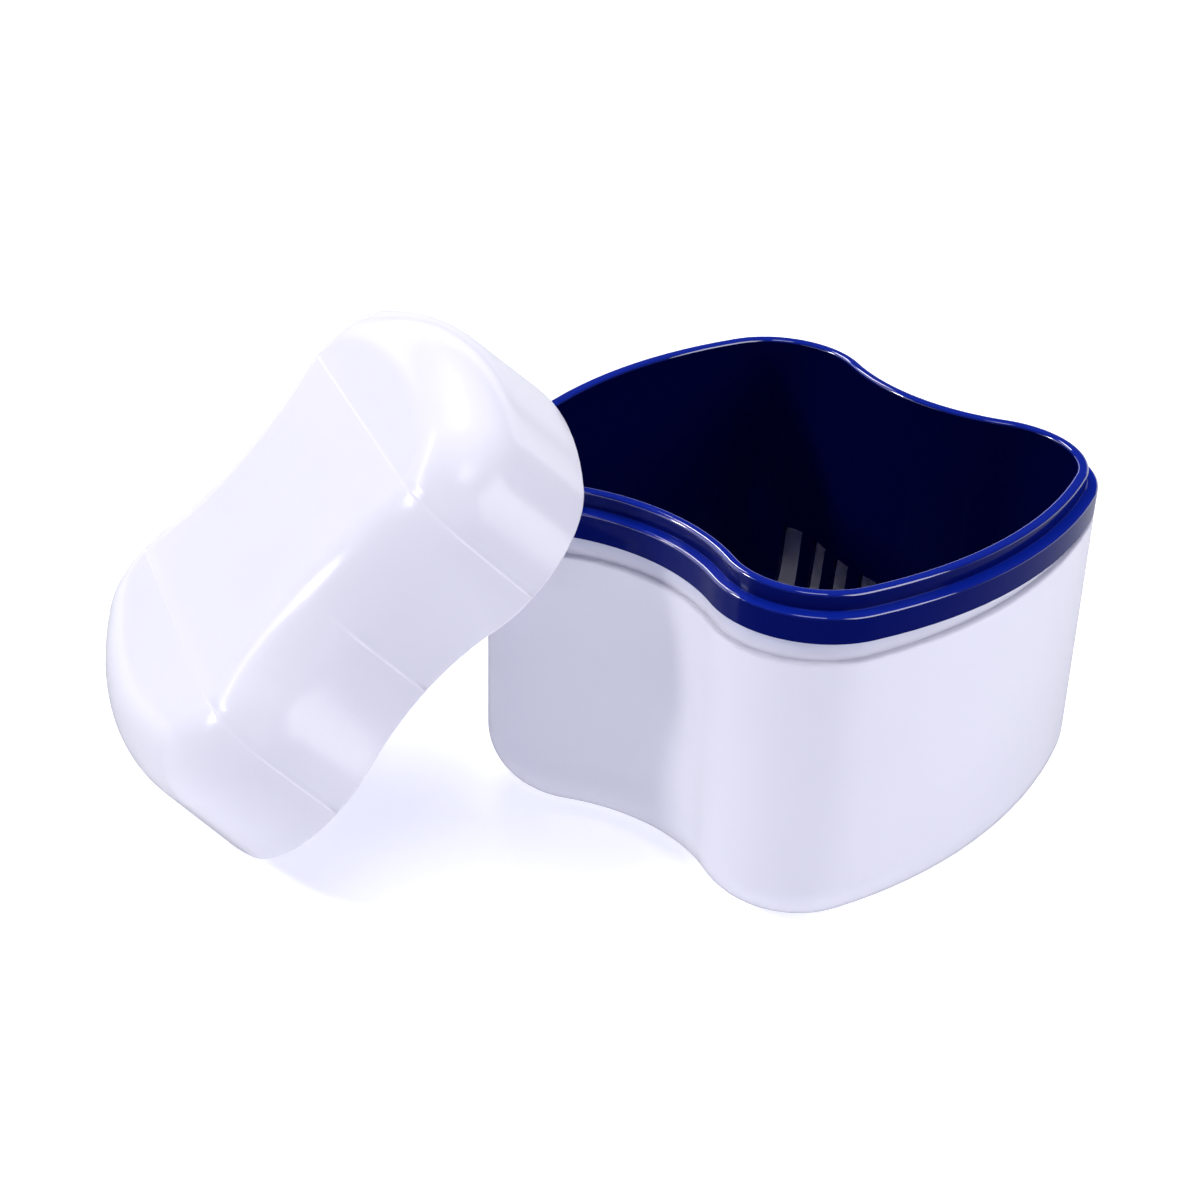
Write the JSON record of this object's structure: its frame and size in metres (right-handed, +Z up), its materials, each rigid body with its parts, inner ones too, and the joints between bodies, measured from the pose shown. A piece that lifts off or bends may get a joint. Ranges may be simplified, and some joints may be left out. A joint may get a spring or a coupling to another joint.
{
  "type": "denture case",
  "caption": "Waisted denture case: cup, hanging strainer basket with slotted walls, and a domed lid taken off and leaning on the basket's corner.",
  "frame": {"origin": "centre of the cup's flat base", "axes": "+Z up, +X along the case's longer side, +Y across its waist, away from the lid"},
  "size_m": [0.1455, 0.1433, 0.0789],
  "materials": {
    "white_shell": "gloss",
    "blue_basket": "gloss"
  },
  "bodies": {
    "cup": {"cup": "white_shell"},
    "strainer_basket": {"strainer_basket": "blue_basket"},
    "lid": {"lid": "white_shell"}
  },
  "joints": [
    {"name": "basket_lift", "type": "slide", "parent": "cup", "child": "strainer_basket", "axis": [0, 0.0401, 0.9992], "range_m": [0, 0.06]},
    {"name": "lid_lift", "type": "slide", "parent": "strainer_basket", "child": "lid", "axis": [0, 0, 1], "range_m": [0, 0.09]}
  ]
}
